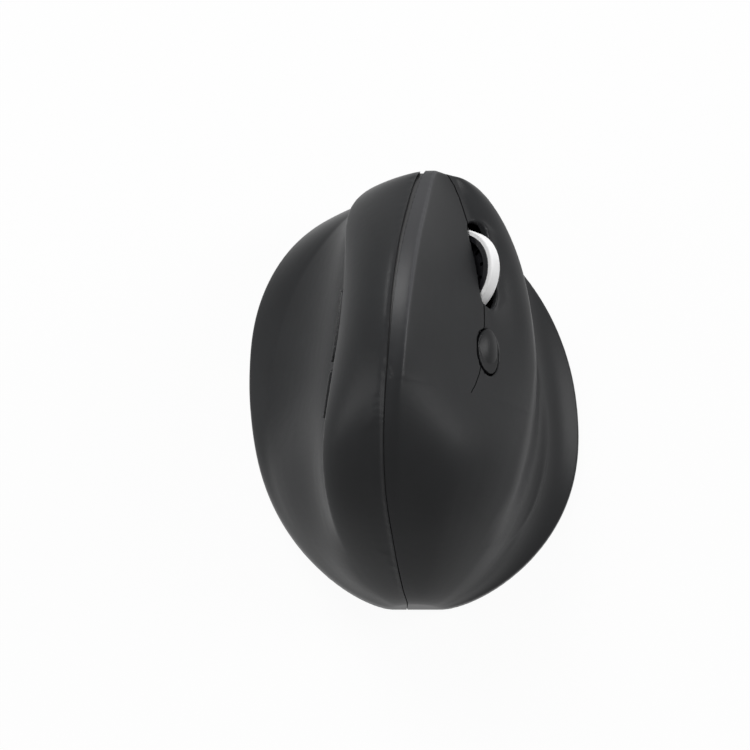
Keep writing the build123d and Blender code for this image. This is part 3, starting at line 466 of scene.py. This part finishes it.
# the wheel opening is narrower on its low side
def squashSlot(form):
    radius = housing["slotRadius"]
    half = housing["slotHalf"]
    for vert in form.verts:
        spot = offSlope @ vert.co / mm
        across = math.hypot(max(abs(spot.x) - half, 0.0), spot.y)
        if abs(across - radius) < housing["slotNear"] and spot.y < 0.0 and spot.z > housing["slotLow"]:
            spot.y *= housing["slotSquash"]
            vert.co = slope @ (spot * mm)


def column(name, outline, low, height, matrix=None):
    form = bmesh.new()
    ring = [form.verts.new(Vector((x, y, low)) * mm) for x, y in outline]
    face = form.faces.new(ring)
    grown = bmesh.ops.extrude_face_region(form, geom=[face])
    top = [item for item in grown["geom"] if isinstance(item, bmesh.types.BMVert)]
    bmesh.ops.translate(form, verts=top, vec=(0.0, 0.0, height * mm))
    bmesh.ops.recalc_face_normals(form, faces=form.faces)
    if matrix:
        bmesh.ops.transform(form, matrix=matrix, verts=form.verts)
    return placeMesh(form, name)


# column over the slope in the outline of one key
def keyColumn(name, side, apart):
    outline = [(x, y + side * apart * between(housing["seamGap"], x)) for x, y in housing["seam"]]
    if side > 0:
        outline += [(outline[-1][0], housing["ridgeSide"]), (outline[0][0], housing["ridgeSide"])]
    else:
        outline += list(housing["tuck"])[::-1]
    return column(name, outline, -housing["depth"], housing["reach"], slope)


# column over everything on one side of the groove
def coverColumn(name, side):
    outline = []
    for step in range(groove["steps"] + 1):
        y = groove["reach"] * (2.0 * step / groove["steps"] - 1.0)
        outline.append((along(groove["line"], y) + side * between(groove["width"], y) / 2, y))
    outline += [(side * groove["side"], groove["reach"]), (side * groove["side"], -groove["reach"])]
    return column(name, outline, groove["low"], groove["high"] - groove["low"])


def cutBy(obj, cutter, operation):
    cut = obj.modifiers.new(cutter.name, "BOOLEAN")
    cut.operation = operation
    cut.solver = "MANIFOLD"
    cut.object = cutter


# painted highlight: only on upward-facing points, lighter over the strip between the groove and its crease, with a
# painted bright line along the crease
def markPaintedHighlight(obj):
    marks = obj.data.attributes.new("paintedHighlight", "FLOAT", "POINT")
    normals = [item.vector.copy() for item in obj.data.vertex_normals]
    for index, vert in enumerate(obj.data.vertices):
        x, y, z = vert.co / mm
        crease = along(strip["crease"], y)
        fromGroove = min(max((x - along(groove["line"], y)) / strip["grooveFade"], 0.0), 1.0)
        toCrease = min(max((crease - x) / strip["creaseFade"] + 0.5, 0.0), 1.0)
        inside = fromGroove * toCrease
        # painted bright line along the crease
        line = math.exp(-((x - crease) / strip["lineWidth"]) ** 2)
        if normals[index].z > strip["facingUp"]:
            marks.data[index].value = inside * between(strip["level"], y) + line * between(strip["line"], y)


# tongue of the thumb cover that closes the groove from below
def tongueCorners(step):
    y = groove["tongueFrom"] + (groove["tongueTo"] - groove["tongueFrom"]) * step / groove["steps"]
    middle = along(groove["line"], y)
    half = between(groove["width"], y) / 2
    top = along(groove["height"], y) - groove["tongueDepth"]
    low = groove["noseLow"] if y > groove["noseFrom"] else top - groove["tongueHeight"]
    left = middle - half - groove["tongueRoot"]
    right = middle + half - groove["tongueClear"]
    return [Vector((x, y, z)) * mm for x, z in ((left, low), (right, low), (right, top), (left, top))]


def addTongue(obj):
    form = bmesh.new()
    corners = tongueCorners(0)
    face = form.faces.new([form.verts.new(corner) for corner in corners])
    for step in range(1, groove["steps"] + 1):
        grown = bmesh.ops.extrude_face_region(form, geom=[face])
        face = next(item for item in grown["geom"] if isinstance(item, bmesh.types.BMFace))
        following = tongueCorners(step)
        for vert in face.verts:
            nearest = min(range(len(corners)), key=lambda k: (corners[k] - vert.co).length)
            vert.co = following[nearest]
        corners = following
    bmesh.ops.recalc_face_normals(form, faces=form.faces)
    for face in form.faces:
        face.material_index = 1
    form.from_mesh(obj.data)
    form.to_mesh(obj.data)
    form.free()
    obj.data.materials.append(finish["chip"])


# fills the corner behind the left key, beside the groove
def addPlug(form):
    block = bmesh.ops.create_cube(form, size=2.0)
    for vert in block["verts"]:
        y = plug["to"] if vert.co.y > 0.0 else plug["from"]
        across = plug["width"] if vert.co.x > 0.0 else 0.0
        high = along(groove["height"], y) + across * plug["rise"] - plug["below"]
        z = high if vert.co.z > 0.0 else high - plug["tall"]
        vert.co = Vector((along(groove["line"], y) - groove["lap"] + across, y, z)) * mm


# hollow in the shape of a leaf on the right flank: places are seen from above, depth goes inwards
def sinkLeaf(obj):
    tilt = math.radians(camera["elevation"])
    normals = [item.vector.copy() for item in obj.data.vertex_normals]
    for vert, normal in zip(obj.data.vertices, normals):
        x, y, z = vert.co / mm
        up = y * math.sin(tilt) + z * math.cos(tilt)
        if x < leaf["from"] or normal.z < leaf["facingUp"] or not leaf["deep"][0][0] < up < leaf["deep"][-1][0]:
            continue
        inner = along(leaf["inner"], up)
        lip = along(leaf["lip"], up)
        share = (x - inner) / (lip - inner)
        deep = between(leaf["deep"], up)
        rim = math.exp(-((x - lip - leaf["rimOut"]) / leaf["rimWidth"]) ** 2) * leaf["rim"]
        hollow = math.sin(math.pi * share ** leaf["lean"]) ** 2 if 0.0 < share < 1.0 else 0.0
        vert.co += normal * deep * mm * (rim - hollow)


plug = {"from": -7.5, "to": 1.5, "width": 4.2, "rise": 0.13, "below": 0.06, "tall": 3.0}
leaf = {
    "from": 14.0,
    "facingUp": 0.02,
    "lip": ((-37.4, 24.3), (-33.9, 27.6), (-25.3, 32.4), (-13.2, 35.3), (-3.0, 35.4), (7.0, 33.9), (13.7, 33.5)),
    "inner": ((-37.4, 17.0), (-32.0, 19.5), (-21.8, 25.2), (-9.1, 28.6), (3.0, 31.2), (13.7, 32.9)),
    "deep": ((-38.0, 0.0), (-30.0, 0.6), (-18.0, 1.0), (-5.0, 0.6), (4.0, 0.25), (13.7, 0.0)),
    "lean": 1.3,
    "rim": 0.22,
    "rimOut": 0.5,
    "rimWidth": 0.6,
}

fused = bmesh.new()
addPlug(fused)
for nodeName in ("palm_cover", "thumb_cover", "left_key", "right_key"):
    form = nodeCopy(nodeName)
    if nodeName.endswith("_key"):
        lapOnPalm(form, nodeName == "right_key")
    lapOnGroove(form)
    squashSlot(form)
    data = bpy.data.meshes.new(nodeName + "_copy")
    form.to_mesh(data)
    form.free()
    fused.from_mesh(data)
    bpy.data.meshes.remove(data)
fusedHousing = placeMesh(fused, "housing")
soften(fusedHousing, housing["voxel"], housing["smooth"])
settle(fusedHousing)
sinkLeaf(fusedHousing)
markPaintedHighlight(fusedHousing)

columns = {
    "thumbSide": coverColumn("thumbSide", -1),
    "palmSide": coverColumn("palmSide", 1),
    "leftKey": keyColumn("leftKey", 1, 0.0),
    "rightKey": keyColumn("rightKey", -1, 0.0),
    "leftEdge": keyColumn("leftEdge", 1, 1.0),
    "rightEdge": keyColumn("rightEdge", -1, 1.0),
}
cuts = {
    "thumb_cover": (("thumbSide", "INTERSECT"),),
    "palm_cover": (("palmSide", "INTERSECT"), ("leftKey", "DIFFERENCE"), ("rightKey", "DIFFERENCE")),
    "left_key": (("palmSide", "INTERSECT"), ("leftEdge", "INTERSECT")),
    "right_key": (("rightEdge", "INTERSECT"),),
}
for nodeName, steps in cuts.items():
    piece = bpy.data.objects.new(nodeName + "_form", fusedHousing.data.copy())
    bpy.context.scene.collection.objects.link(piece)
    for columnName, operation in steps:
        cutBy(piece, columns[columnName], operation)
    settle(piece)
    standFor(piece, nodeName)
    if nodeName == "thumb_cover":
        addTongue(piece)
    print(nodeName, len(piece.data.polygons), "faces")
for helper in (fusedHousing, *columns.values()):
    bpy.data.objects.remove(helper)
print("housing softened and cut")

# Tyre of the wheel: its white tread is narrower than the solid on the low side
tyre = {"centre": (0.013225, 0.030033, 0.028765), "lowShare": 0.4, "radiusShare": 0.955, "treadFrom": 11.5}


def addTyre():
    form = nodeCopy("wheel_tyre")
    centre = Vector(tyre["centre"])
    for vert in form.verts:
        away = vert.co - centre
        side = away.dot(slopeUp)
        if side < 0.0:
            vert.co -= slopeUp * side * (1.0 - tyre["lowShare"])
        outward = away - slopeUp * side
        if outward.length > tyre["treadFrom"] * mm:
            vert.co -= outward * (1.0 - tyre["radiusShare"])
    obj = placeMesh(form, "wheel_tyre_form")
    shade(obj.data)
    standFor(obj, "wheel_tyre")


addTyre()
print("tyre made")

# Floor
floor = {"half": 1.5, "colour": (0.9, 0.9, 0.9), "white": 0.95, "rough": 0.9, "grain": 60.0, "mottle": 0.01}


def addFloor():
    mesh = bmesh.new()
    bmesh.ops.create_grid(mesh, x_segments=1, y_segments=1, size=floor["half"])
    data = bpy.data.meshes.new("floor")
    mesh.to_mesh(data)
    mesh.free()
    obj = bpy.data.objects.new("floor", data)
    bpy.context.scene.collection.objects.link(obj)
    material = bpy.data.materials.new("floorPaper")
    material.use_nodes = True
    tree = material.node_tree
    shader = tree.nodes["Principled BSDF"]
    shader.inputs["Roughness"].default_value = floor["rough"]
    place = tree.nodes.new("ShaderNodeTexCoord")
    noise = tree.nodes.new("ShaderNodeTexNoise")
    noise.inputs["Scale"].default_value = floor["grain"]
    tree.links.new(place.outputs["Object"], noise.inputs["Vector"])
    ramp = tree.nodes.new("ShaderNodeValToRGB")
    ramp.color_ramp.elements[0].color = tuple(c * (1.0 - floor["mottle"]) for c in floor["colour"]) + (1.0,)
    ramp.color_ramp.elements[1].color = floor["colour"] + (1.0,)
    tree.links.new(noise.outputs["Fac"], ramp.inputs["Fac"])
    tree.links.new(ramp.outputs["Color"], shader.inputs["Base Color"])
    white = tree.nodes.new("ShaderNodeEmission")
    white.inputs["Strength"].default_value = 1.0
    path = tree.nodes.new("ShaderNodeLightPath")
    share = tree.nodes.new("ShaderNodeMath")
    share.operation = "MULTIPLY"
    share.inputs[1].default_value = floor["white"]
    tree.links.new(whiteRays(tree, path), share.inputs[0])
    mix = tree.nodes.new("ShaderNodeMixShader")
    tree.links.new(share.outputs[0], mix.inputs["Fac"])
    tree.links.new(shader.outputs[0], mix.inputs[1])
    tree.links.new(white.outputs[0], mix.inputs[2])
    tree.links.new(mix.outputs[0], tree.nodes["Material Output"].inputs["Surface"])
    obj.data.materials.append(material)


addFloor()
